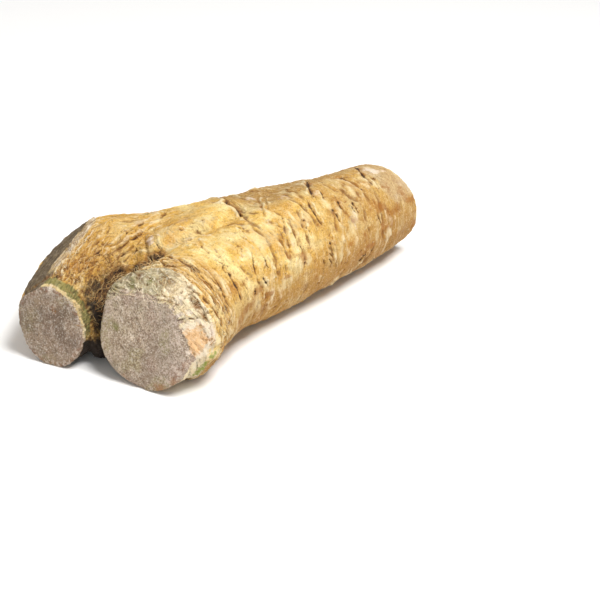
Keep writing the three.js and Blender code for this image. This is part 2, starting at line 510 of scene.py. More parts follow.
def body_wrinkles():
    """Growth wrinkles and flaking cracks across the body."""
    strew(large, 150, (44, 192), ALL_ROUND, (72, 108), (10, 36), (1.0, 1.9), (0.6, 1.4), seed=10,
          wobble=0.7, crowd=1.1, lip=(-0.9, 0.9), crack=(0.0, 0.25), stain=(0.1, 0.5))
    strew(large, 130, (46, 196), ALL_ROUND, (60, 118), (4, 14), (0.45, 0.8), (0.7, 1.8), seed=12,
          wobble=1.1, crowd=1.05, lip=(-1.3, 1.3), crack=(0.2, 1.0), stain=(0.3, 0.8))
    strew(large, 110, (46, 200), ALL_ROUND, (60, 120), (1.5, 5), (0.35, 0.5), (0.3, 0.9), seed=11,
          crowd=0.9, lip=(-0.3, 0.3), crack=(0.0, 0.9), stain=(0.2, 0.9))
    strew(large, 60, (44, 200), ALL_ROUND, (-25, 25), (3, 12), (0.35, 0.5), (0.2, 0.7), seed=13,
          crowd=1.1, crack=(0.0, 0.5), stain=(0.0, 0.5))
    strew(large, 700, (44, 200), ALL_ROUND, (-40, 40), (1.5, 4.5), (0.3, 0.4), (0.2, 0.7), seed=14,
          crowd=0.72, crack=(0.1, 0.7), stain=(0.4, 1.0))
    strew(large, 500, (44, 200), ALL_ROUND, (60, 120), (1.5, 5), (0.3, 0.45), (0.3, 0.9), seed=15,
          crowd=0.75, lip=(-0.4, 0.4), crack=(0.2, 0.9), stain=(0.4, 1.0))
    # The cracks that show most: route, width, depth, lip and darkness.
    for route, wide, deep, lip, dark in (
        (((114, 64), (109, 58), (106, 50), (101, 45), (101, 36), (98, 28), (95, 20), (94, 12),
          (90, 5), (89, -7)), 1.1, 2.6, -1.7, 1.0),
        (((160, 36), (152, 20), (144, 7), (140, -5), (136, -14)), 1.1, 2.3, -1.3, 1.0),
        (((145, -3), (144, -12), (142, -20)), 0.7, 1.2, -0.8, 0.9),
        (((196, 18), (190, 4), (187, -5), (183, -18), (182, -34)), 1.2, 2.6, -0.5, 1.0),
        (((110, -12), (105, -25), (101, -38), (99, -52), (99, -65)), 1.0, 1.5, 1.1, 0.5),
        (((112, -17), (108, -33), (106, -47), (105, -59)), 0.9, 1.4, 1.0, 0.5),
        (((122, -13), (118, -26), (115, -40), (114, -54), (113, -67)), 1.0, 1.6, 1.1, 0.4),
        (((134, -8), (130, -22), (128, -37), (128, -54)), 0.9, 1.6, 1.0, 0.7),
        (((127, -8), (125, -19), (125, -30)), 0.8, 1.4, 0.9, 0.5),
        (((150, -23), (147, -36), (147, -47)), 0.8, 1.2, 0.8, 0.8),
        (((141, -31), (141, -44), (140, -58)), 0.8, 1.2, 0.8, 0.7),
        (((158, -34), (158, -45), (158, -57)), 0.8, 1.2, 0.8, 0.7),
        (((127, 48), (117, 33), (103, 1), (97, -13)), 0.8, 0.9, 1.0, 0.3),
        (((123, 36), (108, 3), (104, -9)), 0.7, 0.7, 0.7, 0.2),
        (((93, 64), (79, 51), (73, 45)), 0.8, 0.8, 0.7, 0.2),
        (((61, 27), (52, 1), (49, -14), (45, -25)), 0.8, 0.9, 0.6, 0.4),
        (((57, -2), (54, -18), (52, -27)), 0.6, 0.8, 0.5, 0.4),
    ):
        stroke(large, large.flat(route), wide, deep, lip, crack=dark, stain=0.4 + dark / 2)


def rootlet_scars():
    """The pits on both limbs: how far along, degrees round, radius and depth."""
    for limb, pits in (
        (large, (
            (38, 25, 1.1, 1.6), (57, 30, 1.2, 1.5), (23, 7, 0.9, 1.2), (64, 45, 1.2, 1.3),
            (118, -34, 0.9, 0.9), (128, -70, 0.9, 0.8), (110, 35, 0.9, 0.9), (77, 42, 0.8, 0.8),
            (172, -30, 0.8, 0.7), (140, 150, 1.4, 1.5), (92, -120, 1.1, 1.2), (160, 75, 1.2, 1.4),
            (70, -130, 1.2, 1.3))),
        (small, ((19, -25, 1.2, 1.8), (31, -14, 1.0, 1.4), (43, 2, 0.9, 1.2))),
    ):
        for along, degrees, radius, deep in pits:
            pit(limb, along, degrees, radius, deep)


def web_and_valley():
    """The valley where the small limb parts from the body, and the web of bark that crosses it."""
    # The valley and its two arms: route, width and depth, with a thin crack along each.
    for route, wide, deep in (
        (((62, 48), (68, 41), (76, 36)), 2.0, 0.9),
        (((68, 40), (72, 17), (75, -2), (82, -12), (93, -29)), 2.2, 1.0),
        (((76, 36), (86, 24), (97, 16)), 2.0, 0.7),
    ):
        path = large.flat(route)
        index, off, way = large.near(path, 4 * wide)
        swell[index] -= deep * tapered(way) * bell(off, wide) * bark[index]
        stroke(large, path, 0.45, 0.8, 0.5, crack=0.4, stain=0.3)

    # A fold stands along the web, over a dark crack.
    fold_route = ((46, 71), (52, 69), (57, 66), (61, 59), (68, 51), (78, 45), (92, 42))
    index, off, way = large.near(large.flat(fold_route), 16)
    fold = tapered(way) * ease(9, 5, (large.out - large.half)[index]) * bell(off, 4.5)
    swell[index] += 3.0 * fold
    mark("cream", 0.7 * fold, index)
    under_fold = ((54, 78), (50, 73), (47, 67), (46, 60), (47, 53), (49, 46))
    stroke(large, large.flat(under_fold), 1.7, 2.8, everywhere=True, crack=1.0, stain=1.0)
    swell[:] += 3.5 * ease(12, 2, gap) * ease(30, 42, z) * ease(46, 62, x) * ease(112, 95, x) * bark

    # The web is cream, with a sharp nose over the stained crevice.
    mottled = (0.65 + 0.5 * noise(points, 7, 61)).clip(0.2, 1)
    mark("cream", 0.8 * bark * ease(0.28, 0.5, web + 0.12 * noise(points, 4, 57)) * mottled)
    nose_route = ((57, 53, 52), (52.5, 48.5, 50.7), (47, 43, 49.8), (44, 39.5, 48), (42, 37, 45.5))
    nose = far_from(points, nose_route, 6)
    swell[:] -= bark * (1.8 * bell(nose, 1.3) + 1.5 * bell(crevice, 3))
    mark("crack", 0.6 * bark * bell(nose, 0.9))
    mark("stain", 0.9 * bark * ease(8, 3, crevice + 2.5 * noise(points, 4, 62)))


def side_limb_fibres():
    """The rough fibrous bark of the smaller limb, torn lengthwise."""
    strew(small, 170, (4, 104), ALL_ROUND, (-12, 12), (12, 45), (0.4, 0.9), (-0.8, -0.25), seed=20,
          crowd=1.3)
    strew(small, 150, (3, 108), ALL_ROUND, (-14, 14), (5, 30), (0.4, 0.6), (0.4, 1.2), seed=21, crowd=1.1,
          lip=(-0.5, 0.5), crack=(0.1, 0.8), stain=(0.1, 0.8))
    strew(small, 260, (14, 50), (-60, 12), (-40, 40), (2, 9), (0.4, 0.55), (0.5, 1.4), seed=23, crowd=1.5,
          lip=(-0.8, 0.8), crack=(0.2, 0.9), stain=(0.4, 1.0))
    strew(small, 50, (3, 90), ALL_ROUND, (50, 130), (2, 7), (0.4, 0.6), (0.4, 1.1), seed=22, crowd=1.0,
          lip=(-0.6, 0.6), crack=(0.2, 0.8))
    # The cords and the tears beside them: route, width, depth and lip.
    for route, wide, deep, lip in (
        (((37, -30), (47, -34), (57, -37), (74, -36), (83, -28), (95, -19), (101, -11)), 1.6, -1.3, 0),
        (((59, -29), (74, -27), (84, -17), (94, -7), (101, 7)), 1.8, -1.5, 0),
        (((39, -10), (47, -12), (52, -13), (60, -12)), 1.3, -1.0, 0),
        (((37, -34), (47, -38), (57, -41), (74, -40), (83, -32), (95, -23)), 0.7, 1.7, 0.5),
        (((56, -34), (68, -33), (79, -24), (90, -14), (98, -3)), 0.6, 1.4, 0.4),
        (((98, -15), (101, -6), (105, 4)), 1.2, 2.0, 0.9),
        (((29, -16), (37, -20), (46, -26), (54, -34), (61, -36)), 0.6, 1.3, 0.6),
        (((35, -47), (45, -47), (53, -49), (60, -49), (75, -48)), 0.6, 1.2, -0.6),
        (((50, -56), (59, -55), (72, -52), (80, -40)), 0.6, 1.2, -0.6),
        (((21, -18), (27, -22), (33, -29), (38, -33)), 0.6, 1.2, -0.6),
    ):
        stroke(small, small.flat(route), wide, deep, lip, crack=0.8 * (deep > 0), stain=0.6)


def small_crown_rim():
    """The deep crack between the shoulder's cut and the small crown, and the crumbled skin beside."""
    under_cut = ((7, 52), (11, 36), (13, 29), (15, 22), (16, 12), (19, 5), (22, -1))
    stroke(small, small.flat(under_cut), 1.3, 2.6, everywhere=True, crack=1.0, stain=0.8)
    strew(small, 60, (15, 25), (-6, 16), (-60, 60), (1.5, 5), (0.45, 0.7), (0.8, 2.0), seed=27,
          crack=(0.5, 1.0), lip=(-0.8, 0.8), stain=(0.5, 1.0))
    strew(small, 60, (1, 17), (-120, 40), (84, 96), (5, 22), (0.4, 0.6), (0.3, 0.9), seed=25,
          crack=(0.0, 0.6), stain=(0.0, 0.6))


# Pale scuffs, orange stains and green streaks: the middle of each, its radius and its strength.
SPOTS = {
    "pale": (
        ((116, 24, 58), 6, 0.7), ((104, 8, 60), 6, 0.5), ((95, -6, 60), 8, 0.4), ((140, -4, 61), 7, 0.5),
        ((152, -24, 46), 8, 0.6), ((112, 45, 52), 8, 0.5), ((72, 36, 57), 9, 0.4), ((54, -2, 58), 8, 0.4),
        ((50, 41, 52), 6, 0.8), ((60, -14, 53), 8, 0.4), ((124, 6, 61), 8, 0.5), ((150, 14, 59), 8, 0.5),
        ((36, 74, 55), 6, 0.6), ((44, 80, 55), 6, 0.5), ((120, 10, 0), 10, 0.6), ((6, -16, 53), 6, 0.9),
        ((9, -31, 45), 5, 1.0), ((13, -33, 36), 4, 0.8), ((-13, 56, 43), 5, 0.8), ((1, -27, 27), 3, 0.8),
        ((2, -22, 44), 4, 0.8), ((1, -12, 51), 4, 0.6), ((196, -5, 56), 9, 0.9),
    ),
    "stain": (
        ((84, -3, 59), 5, 0.3), ((118, -17, 54), 4, 0.7), ((128, -26, 40), 5, 0.6), ((110, 19, 57), 4, 0.5),
        ((100, -20, 48), 5, 0.4), ((44, -22, 44), 7, 0.7), ((150, -14, 56), 5, 0.5),
        ((166, -6, 57), 5, 0.4),
        ((26, 54, 48), 9, 0.4), ((14, 54, 47), 8, 0.7), ((186, -20, 44), 7, 0.5), ((170, -28, 30), 7, 0.5),
        # The stain low on the collar's near side, at (44, -27, 26), is partly painted shade.
        ((90, -26, 24), 7, 0.4), ((44, -27, 26), 9, 0.7), ((-6, -13, 4), 6, 0.8), ((-3, -21, 9), 5, 0.7),
        ((-7, 10, 4), 5, 0.5), ((-14, 54, 33), 4, 0.5), ((-5, 24, 12), 4, 0.5), ((-1, -2, 8), 5, 0.3),
        ((202, -23, 44), 7, 0.8), ((8, 57, 48), 8, 0.7), ((3, 60, 48), 6, 1.0), ((206, -10, 46), 8, 0.6),
        ((208, 2, 50), 6, 0.5), ((205, -16, 34), 8, 0.5),
    ),
    "moss": (
        ((4, 14, 54), 6, 0.8), ((7, 4, 57), 5, 0.8), ((3, 24, 47), 5, 0.6), ((-4, 18, 29), 5, 0.6),
        ((-6, 14, 10), 6, 0.4), ((-8, 37, 14), 5, 0.7), ((74, 64, 55), 5, 0.8), ((60, 74, 56), 4, 0.6),
        ((118, 34, 56), 5, 0.4), ((160, 20, 56), 5, 0.4),
    ),
    "lime": (
        ((9, -24, 9), 4.5, 1.0), ((10, -27, 13), 4.5, 1.0), ((11, -29, 18), 4.5, 1.0),
        ((13, -31, 22), 4.5, 1.0),
    ),
}


def stains_and_scuffs():
    """Broad stains and cream patches, a stain low on the neck that is partly painted shadow, darker cracks
    far back and low down, and the single spots.
    """
    # Low on the neck, behind the collar: partly a brown stain, partly a painted shadow.
    neck_stain_and_shadow = large.own_bark * ease(36, 12, z) * ease(18, 28, x) * ease(95, 55, x)
    marks["stain"] += 0.55 * neck_stain_and_shadow * ease(-0.6, 0.3, noise(points, 9, 56))
    flank = body * bell(turned + 40, 32) * ease(150, 110, x)
    mark("cream", 0.6 * flank * ease(-0.5, 0.4, noise(points, 13, 58)))
    marks["stain"] += 0.4 * body * ease(125, 185, x) * ease(-0.2, 0.6, noise(points, 8, 59))
    marks["stain"] += 0.7 * body * bell(turned + 84, 26) * ease(0.05, 0.6, noise(points, (9, 5, 5), 63))
    mark("cream", 0.7 * body * ease(0.25, 0.7, noise(points, (6, 13, 13), 64)))
    flaked = body * np.maximum(ease(95, 150, x), bell(turned + 70, 35))
    marks["crack"] *= 1 + 0.7 * flaked
    marks["stain"] *= 1 + 0.3 * flaked
    for name, spots in SPOTS.items():
        for centre, radius, strength in spots:
            patch(name, centre, radius, strength)


def weathered_top():
    """The top of the bevel, where weather wore the scars down to fine lines round the crown."""
    rubbed = np.maximum(bevel, shelf) * ease(-45, -20, turned)
    for layer in (marks["crack"], marks["stain"], low, high):
        layer *= 1 - 0.75 * rubbed
    strew(large, 220, (-3, 15), (-50, 75), (86, 94), (6, 26), (0.3, 0.45), (0.3, 0.8), seed=6,
          wobble=0.15, lip=(-0.5, 0.5), crack=(0.1, 0.7), stain=(0.0, 0.4))


def pared_patch():
    """The hollow in the large crown's outer side, pared to orange-tan flesh under a pale ledge."""
    off = np.linalg.norm((points - (4, -28, 32)) * (0.5, 1.15, 0.8), axis=1)
    split = ((6, -50), (9, -55), (10, -57), (12, -62), (15, -64))
    ledge = ((5, -44), (9, -49), (12, -53), (16, -60))
    stroke(large, large.flat(split), 0.7, 1.3, 1.1, crack=0.9)
    stroke(large, large.flat(ledge), 1.8, -0.6, pale=1.0)
    return ease(11.5, 4, off + 2 * noise(points, 4, 42)) * (x < 14)


collar_scars()
body_wrinkles()
rootlet_scars()
web_and_valley()
side_limb_fibres()
small_crown_rim()
stains_and_scuffs()
weathered_top()
pared = pared_patch()


# ---- Raising the bark ----
# Grain that follows each limb, drifting a little so that it doesn't run dead straight.
large_own, small_own = large.own(), small.own()
large_own[:, 0] += 3.5 * noise(points, 24, 30) + 0.9 * noise(points, 7, 31)
for axis in (1, 2):
    small_own[:, axis] += 3.0 * noise(points, 20, 31 + axis) + 0.7 * noise(points, 6, 33 + axis)

wrinkled = body * (1 - 0.8 * scraped) * ease(-0.3, 0.5, noise(points, 24, 43))
crumbled = fibrous * ease(60, 46, small.along) * ease(-70, -45, side_turned) * ease(30, 8, side_turned)
# The large crown bulges low down beside the small one, and the body at the crack behind the fork.
swell += 2.2 * bell(turned - 125, 45) * ease(20, 6, large.along) * (1 - on_small)
swell += 0.9 * bell(large.along - 107, 7) * bell(turned - 30, 40) * large.own_bark
# Height is the rest, the fine relief that the colours follow as well, with painted shade in its hollows and
# painted highlight on its ridges.
height = bark * (0.35 * noise(points, 5, 2) + 0.15 * noise(points, 1.4, 18))
# Growth lines of two sizes run across the body in clusters.
wide_lines = ease(0.78, 0.98, creases(large_own, (7, 34, 34), 51)) * ease(-0.1, 0.5, noise(points, 13, 52))
thin_lines = ease(0.7, 0.98, creases(large_own, (4, 17, 17), 53)) * ease(0.0, 0.5, noise(points, 11, 54))
lines = np.maximum(wide_lines, 0.7 * thin_lines) * wrinkled
mark("crack", 0.65 * lines)
mark("stain", 0.65 * lines)
height -= 0.9 * lines
# The grain of the body, the collar, the small limb and the faces, in millimetres of height.
height += wrinkled * (0.4 * noise(large_own, (3, 17, 17), 3) + 0.6 * creases(large_own, (5.5, 22, 22), 13))
height += body * (0.16 * noise(large_own, (1.3, 5, 5), 4) + 0.2 * noise(points, 2.4, 44))
height += collar * (0.6 * creases(large_own, (2.6, 28, 28), 5) + 0.3 * noise(large_own, (1.3, 11, 11), 14))
height += fibrous * (
    0.4 * creases(small_own, (46, 4.6, 4.6), 6) + 0.4 * creases(small_own, (24, 1.9, 1.9), 45)
    + 0.25 * noise(small_own, (9, 1.1, 1.1), 7) + 0.35 * noise(small_own, (9, 5, 5), 15) - 0.4)
height += crumbled * (0.45 * noise(points, 2.2, 48) + 0.3 * noise(points, 1.2, 49))
height += (bevel + shelf) * (0.5 * creases(large_own, (1.9, 26, 26), 16) + 0.2 * noise(points, 2.6, 17))
height += torn * (0.4 + 0.9 * noise(small_own, (7, 1.3, 1.3), 46))
height += cut * (0.4 * noise(points, 11, 8) + 0.25 * noise(points, 3.2, 19) + 0.18 * noise(points, 1.3, 9))
height -= (face_shoulder - torn) * (0.5 + 0.3 * noise(small_own, (22, 3, 3), 47))
height += (low + high) * (1 - 0.6 * scraped)
height -= 1.1 * pared

# The colour of dried flesh runs a ragged way over the edges of the cuts.
large_edge = past["large_crown"] + frayed + 2.5 * ease(90, 130, abs(turned))
small_edge = past["small_crown"] + 0.7 * frayed + 2.5 * ease(60, 90, abs(side_turned))
soft_face = np.maximum(
    ease(-2.4, -0.2, large_edge) * on_large_crown, ease(-2.0, -0.2, small_edge) * on_small_crown)
soft_shoulder = ease(-2.4, -0.2, past["shoulder"] + 0.9 * noise(points, 8, 55))
soft_shoulder *= ease(4, -2, toward_body) * bark * (x > -16) * (x < 58)

# A face's rim is found from how far inside its limb's outline each point is.
inside_large = large.half - large.out
inside_small = small.half - small.out
inside_own = np.minimum(inside_large + 50 * face_small, inside_small + 50 * face_large)
tail_rim = face_tail * ease(3, 0.6, inside_large)
large_rim = face_large * ease(5, 1, inside_large) * (0.4 + 0.6 * ease(70, 110, abs(turned)))
small_rim = face_small * ease(3.5, 0.8, inside_small)

bevelled = np.maximum(bevel, shelf)
marks.update(
    cut=np.maximum.reduce([face_large, face_small, soft_face]),
    shoulder=np.maximum(face_shoulder * (1 - torn), soft_shoulder),
    torn=torn,
    tail=face_tail,
    bevel=bevelled,
    weathered=bevelled * ease(-35, 5, turned),
    # Browner toward the bottom, partly the bark's own colour and partly painted shade.
    under=bark * np.maximum(ease(54, 18, z) * ease(24, 44, x), ease(24, 6, z)),
    far=body * ease(95, 165, x),
    top=large.own_bark * ease(-20, 25, turned) * ease(110, 80, turned) * ease(85, 120, x),
    fibrous=fibrous,
    collar=collar,
    scraped=scraped,
    pared=pared,
    # The crotch's painted shade, kept off the faces.
    crotch=bark * crotch * (1 - soft_face),
    side=on_small,
    small_face=face_small,
    edge=(face_large + face_small) * ease(6, 1, inside_own),
    ring=face_tail * bell(large.out - 0.64 * large.half, 0.9),
    rim=tail_rim + large_rim + small_rim,
    # Painted shade in the hollows and painted highlight on the ridges follow this.
    relief=np.clip(0.5 + height / 3.5, 0, 1),
)
place(mesh, points)
normals = read(mesh.vertex_normals, "vector", 3).astype(float)
points = points + normals * (height + swell)[:, None]
points[:, 2] = np.maximum(points[:, 2], 0.0)


# ---- Materials ----
def add(tree, kind, inputs=None, **settings):
    """Adds a node, with its settings, and sets or links its inputs."""
    made = tree.nodes.new("ShaderNode" + kind)
    stops = settings.pop("stops", None)
    for name, value in settings.items():
        setattr(made, name, value)
    if stops:
        ramp = made.color_ramp.elements
        while len(ramp) < len(stops):
            ramp.new(0.5)
        for element, (at, colour) in zip(ramp, stops):
            element.position = at
            element.color = linear(colour)
    for socket, value in (inputs or {}).items():
        if isinstance(value, bpy.types.NodeSocket):
            tree.links.new(value, made.inputs[socket])
        else:
            made.inputs[socket].default_value = value
    return made


def new_material(name):
    """A material with an empty node tree."""
    material = bpy.data.materials.new(name)
    material.use_nodes = True
    material.node_tree.nodes.clear()
    return material, material.node_tree


# The patterns, each named for what it looks like: the size of its lumps in millimetres, its detail
# and its roughness. The flesh's fibre ends are about 0.3 mm across and the bark's cork cells finer
# still, so "fine" draws them at 0.9 mm, as coarse as it needs to show.
PATTERNS = (
    ("broad", 38, 1.0, 0.5), ("calm", 17, 1.0, 0.5), ("blotches", 9, 4.0, 0.6), ("felt", 7, 5.0, 0.7),
    ("specks", 2.4, 4.0, 0.75), ("fine", 0.9, 2.0, 0.7),
)
EDGE_BREAK = 0.28  # how much the specks add to or take from a mark
# The grain that follows each limb: the size of its lumps along the limb and across it.
GRAINS = (("rings", "large_own", (1.1, 10, 10)), ("threads", "small_own", (9, 0.9, 0.9)))

# Each surface's own colour, or the surface that it starts from.
GROUNDS = {
    "flesh": "#C2AC92", "dark_flesh": "#64502F", "torn_flesh": "#C9B089", "pale_flesh": "#DDCEAB",
    "bark": "#E9BC5B", "skin": "bark",
}
# The coats over it: what shows each one, from how much to how much, its most, its tint or the
# surface that it brings in, and, for some, the mark or pattern that it keeps to.
COATS = {
    # The crowns' faces: taupe, dried and woody, with fibre ends as dark and pale specks.
    "flesh": (
        ("felt", 0.5, 0.34, 1.0, "#9C8469"), ("felt", 0.5, 0.66, 1.0, "#D8C3A8"),
        ("broad", 0.52, 0.38, 0.6, "#A08B78"), ("calm", 0.53, 0.62, 0.6, "#A99A6C"),
        ("calm", 0.46, 0.36, 0.5, "#B99A88"), ("all small_face", 0.0, 1.0, 0.3, "#8A745F"),
        ("blotches", 0.54, 0.38, 0.65, "#705A46", "all small_face"),
        ("blotches", 0.5, 0.64, 0.5, "#B99C80", "all small_face"),
        ("specks", 0.54, 0.66, 0.75, "#80624C"), ("specks", 0.46, 0.34, 0.55, "#E6D9C8"),
        ("fine", 0.52, 0.64, 0.8, "#75604C"), ("fine", 0.45, 0.32, 0.6, "#F2E7D8"),
        ("specks", 0.5, 0.6, 0.7, "#E6D3C2", "all edge"),
        ("specks", 0.5, 0.40, 0.8, "#8C5A38", "all rim"),
    ),
    # The shoulder's cut: dark brown, streaked along its fibres.
    "dark_flesh": (
        ("threads", 0.5, 0.36, 1.0, "#3F2E1A"), ("threads", 0.5, 0.68, 1.0, "#8A7452"),
        ("broad", 0.42, 0.58, 0.5, "#5A472A"), ("specks", 0.5, 0.62, 0.5, "#A08D74"),
    ),
    # Where that cut tore off: pale, fibrous, with brown between the threads.
    "torn_flesh": (
        ("threads", 0.5, 0.36, 1.0, "#95744B"), ("threads", 0.5, 0.66, 1.0, "#EDE0C8"),
        ("specks", 0.5, 0.62, 0.7, "#84614A"), ("blotches", 0.5, 0.66, 0.5, "#D9B474"),
    ),
    # The tail's face: cream, with a faint ring and a browned rim.
    "pale_flesh": (
        ("blotches", 0.5, 0.32, 1.0, "#CDB88C"), ("blotches", 0.5, 0.68, 1.0, "#E9DCBE"),
        ("felt", 0.52, 0.66, 0.5, "#B9A273"), ("fine", 0.54, 0.66, 0.5, "#A8905F"),
        ("fine", 0.46, 0.34, 0.5, "#F4ECD8"), ("ring", 0.2, 0.9, 0.7, "#AF9156"),
        ("specks", 0.48, 0.6, 0.8, "#8C5A38", "all rim"),
    ),
    # The bark: cream to golden tan, browner in its wrinkles and paler on its ridges, partly by painted
    # shade and painted highlight that follow the relief.
    "bark": (
        ("blotches", 0.48, 0.30, 1.0, "#CE9D48"), ("blotches", 0.48, 0.66, 1.0, "#F7DF9A"),
        ("broad", 0.42, 0.62, 0.5, "#CF9C42"), ("calm", 0.53, 0.66, 0.6, "#F8E3A0"),
        ("calm", 0.46, 0.36, 0.45, "#C98F33"), ("all fibrous", 0.0, 1.0, 0.6, "#CC9A3E"),
        ("all collar", 0.0, 1.0, 0.3, "#D9B26C"), ("all scraped", 0.2, 0.8, 0.7, "#D6C29C"),
        ("blotches", 0.5, 0.64, 0.5, "#EADBC4", "all scraped"), ("all far", 0.0, 1.0, 0.5, "#B08447"),
        # Low down the bark is browner, partly its own colour and partly painted shade.
        ("all under", 0.1, 1.0, 0.75, "#AE7A2C"), ("all top", 0.0, 1.0, 0.85, "#AC8240"),
        ("bevel", 0.2, 0.7, 0.9, "#EFDDB8"), ("grain", 0.52, 0.70, 0.4, "#A8742F", "calm"),
        ("grain", 0.47, 0.32, 0.45, "#F6E8C2", "calm"), ("weathered", 0.3, 0.8, 0.7, "#A39A78"),
        ("grain", 0.5, 0.66, 0.8, "#6C6546", "all weathered"),
        ("grain", 0.5, 0.62, 0.85, "#957B55", "all bevel"),
        ("specks", 0.47, 0.34, 0.8, "#F7EEDF", "all bevel"), ("specks", 0.56, 0.68, 0.6, "#9C672A"),
        ("specks", 0.44, 0.32, 0.45, "#FAE7B4"), ("fine", 0.55, 0.66, 0.5, "#94642B"),
        # By the relief: painted shade in the hollows, then painted highlight on the ridges.
        ("fine", 0.44, 0.33, 0.3, "#F7DFA2"), ("all relief", 0.49, 0.26, 0.75, "#80501C"),
        ("all relief", 0.50, 0.30, 0.8, "#6B3F16", "all collar"),
        ("all relief", 0.56, 0.80, 0.6, "#F8E8C0"), ("pared", 0.15, 0.5, 1.0, "#F3E2C6"),
        ("pared", 0.5, 1.0, 0.8, "#E6B274"), ("specks", 0.54, 0.66, 0.6, "#B97A40", "all pared"),
    ),
    # All of them on one skin, then its creams, stains, greens, the crotch's painted shade and cracks.
    "skin": (
        ("cut", 0.35, 0.65, 1.0, "flesh"), ("shoulder", 0.2, 0.8, 1.0, "dark_flesh"),
        ("torn", 0.2, 0.9, 0.95, "torn_flesh"), ("tail", 0.35, 0.6, 1.0, "pale_flesh"),
        ("cream", 0.25, 0.9, 0.6, "#F0DEAC"), ("pale", 0.3, 0.9, 0.8, "#F0DFCC"),
        ("stain", 0.2, 0.95, 0.7, "#A4661F"), ("moss", 0.25, 0.9, 0.8, "#84834A"),
        ("grain", 0.48, 0.62, 0.6, "#55542B", "all moss"), ("lime", 0.15, 0.7, 0.85, "#8E9A2C"),
        ("crotch", 0.1, 0.85, 0.97, "#1E1109"), ("crack", 0.25, 0.75, 0.95, "#42270E"),
    ),
}


def root_looks(tree):
    """Every pattern and mark that a coat can show by."""
    at = add(tree, "TexCoord").outputs["Object"]
    look = {}
    for name, size_mm, detail, rough in PATTERNS:
        look[name] = add(tree, "TexNoise", {
            "Vector": at, "Scale": 1 / (size_mm * MM), "Detail": detail, "Roughness": rough}).outputs["Fac"]
    for name, limb, sizes_mm in GRAINS:
        own = add(tree, "Attribute", attribute_name=limb).outputs["Vector"]
        squeezed = add(tree, "VectorMath", {0: own, 1: sizes_mm}, operation="DIVIDE").outputs[0]
        look[name] = add(tree, "TexNoise", {"Vector": squeezed, "Scale": 1.0, "Detail": 3.0}).outputs["Fac"]

    # Every mark from the mesh, as "all" of it, and the same with its edge broken up by the specks.
    broken = add(tree, "MapRange", {
        0: look["specks"], 1: 0.3, 2: 0.7, 3: -EDGE_BREAK, 4: EDGE_BREAK}).outputs[0]
    for name in marks:
        look["all " + name] = add(tree, "Attribute", attribute_name=name).outputs["Fac"]
        look[name] = add(tree, "Math", {0: look["all " + name], 1: broken}, operation="ADD").outputs[0]
    look["grain"] = add(tree, "Mix", {
        0: look["all side"], 2: look["rings"], 3: look["threads"]}, data_type="FLOAT").outputs[0]
    return look


def coated(tree, look):
    """The skin's colour: every surface, with its coats laid over its ground one by one."""
    done = {}
    for surface, coats in COATS.items():
        ground = GROUNDS[surface]
        colour = done[ground] if ground in done else linear(ground)
        for name, low_end, high_end, most, tint, *within in coats:
            much = add(tree, "MapRange", {
                0: look[name], 1: low_end, 2: high_end, 3: 0.0, 4: most}, interpolation_type="SMOOTHSTEP")
            for limit in within:
                much = add(tree, "Math", {0: much.outputs[0], 1: look[limit]}, operation="MULTIPLY")
            over = done[tint] if tint in done else linear(tint)
            colour = add(tree, "Mix", {0: much.outputs[0], 6: colour, 7: over}, data_type="RGBA").outputs[2]
        done[surface] = colour
    return done["skin"]


def root_skin():
    """Horseradish bark, corky and cream to golden tan, with flesh dried taupe where it was cut. It
    is dull all over, unevenly so with the specks."""
    material, tree = new_material("horseradish_bark")
    look = root_looks(tree)
    bumps = look["specks"]
    for name, share in (("fine", 0.8), ("grain", 1.2)):
        bumps = add(tree, "Math", {0: look[name], 1: share, 2: bumps}, operation="MULTIPLY_ADD").outputs[0]
    normal = add(tree, "Bump", {"Height": bumps, "Distance": 1.4 * MM, "Strength": 1.0}).outputs["Normal"]
    dull = add(tree, "MapRange", {0: look["specks"], 1: 0.3, 2: 0.7, 3: 0.66, 4: 0.88}).outputs[0]
    surface = add(tree, "BsdfPrincipled", {
        "Base Color": coated(tree, look), "Roughness": dull, "Normal": normal})
    add(tree, "OutputMaterial", {"Surface": surface.outputs[0]})
    return material


def root_hair():
    """Dried rootlets and torn bast fibres: straw to brown, faintly glossy along their length."""
    material, tree = new_material("dried_root_fibre")
    shade = add(tree, "Attribute", attribute_name="shade").outputs["Fac"]
    at = add(tree, "TexCoord").outputs["Object"]
    along = add(tree, "TexNoise", {"Vector": at, "Scale": 1 / (2.5 * MM), "Detail": 2.0}).outputs["Fac"]
    mixed = add(tree, "Math", {0: along, 1: 0.6, 2: shade}, operation="MULTIPLY_ADD").outputs[0]
    straw = [(0.25, "#6A4522"), (0.55, "#B98A4C"), (0.8, "#E2C88F"), (1.0, "#F3E7C6")]
    colour = add(tree, "ValToRGB", {"Fac": mixed}, stops=straw).outputs["Color"]
    bump = add(tree, "Bump", {"Height": along, "Distance": 0.1 * MM, "Strength": 0.6}).outputs["Normal"]
    surface = add(tree, "BsdfPrincipled", {"Base Color": colour, "Roughness": 0.55, "Normal": bump})
    add(tree, "OutputMaterial", {"Surface": surface.outputs[0]})
    return material


# ---- The skin becomes a piece ----
def thin(piece, most):
    """Fewer, larger triangles where the skin is smooth, and at most so many."""
    triangles = sum(len(p.vertices) - 2 for p in piece.data.polygons)
    if triangles > most:
        modifier = piece.modifiers.new("thin", "DECIMATE")
        modifier.ratio = most / triangles
        found = piece.evaluated_get(bpy.context.evaluated_depsgraph_get())
        made = bpy.data.meshes.new_from_object(found)
        piece.modifiers.clear()
        piece.data = made


place(mesh, points)
finish_mesh(mesh, {**marks, "large_own": large_own, "small_own": small_own}, root_skin())
skin = put("root_skin", mesh)
thin(skin, SKIN_TRIANGLES)
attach(skin, "root")
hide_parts(ROOT)


# ---- Loose fibres and rootlets ----
STRAND_SIDES = 5
ASLANT = (0.31, 0.52, 0.79)  # a direction that no strand keeps to


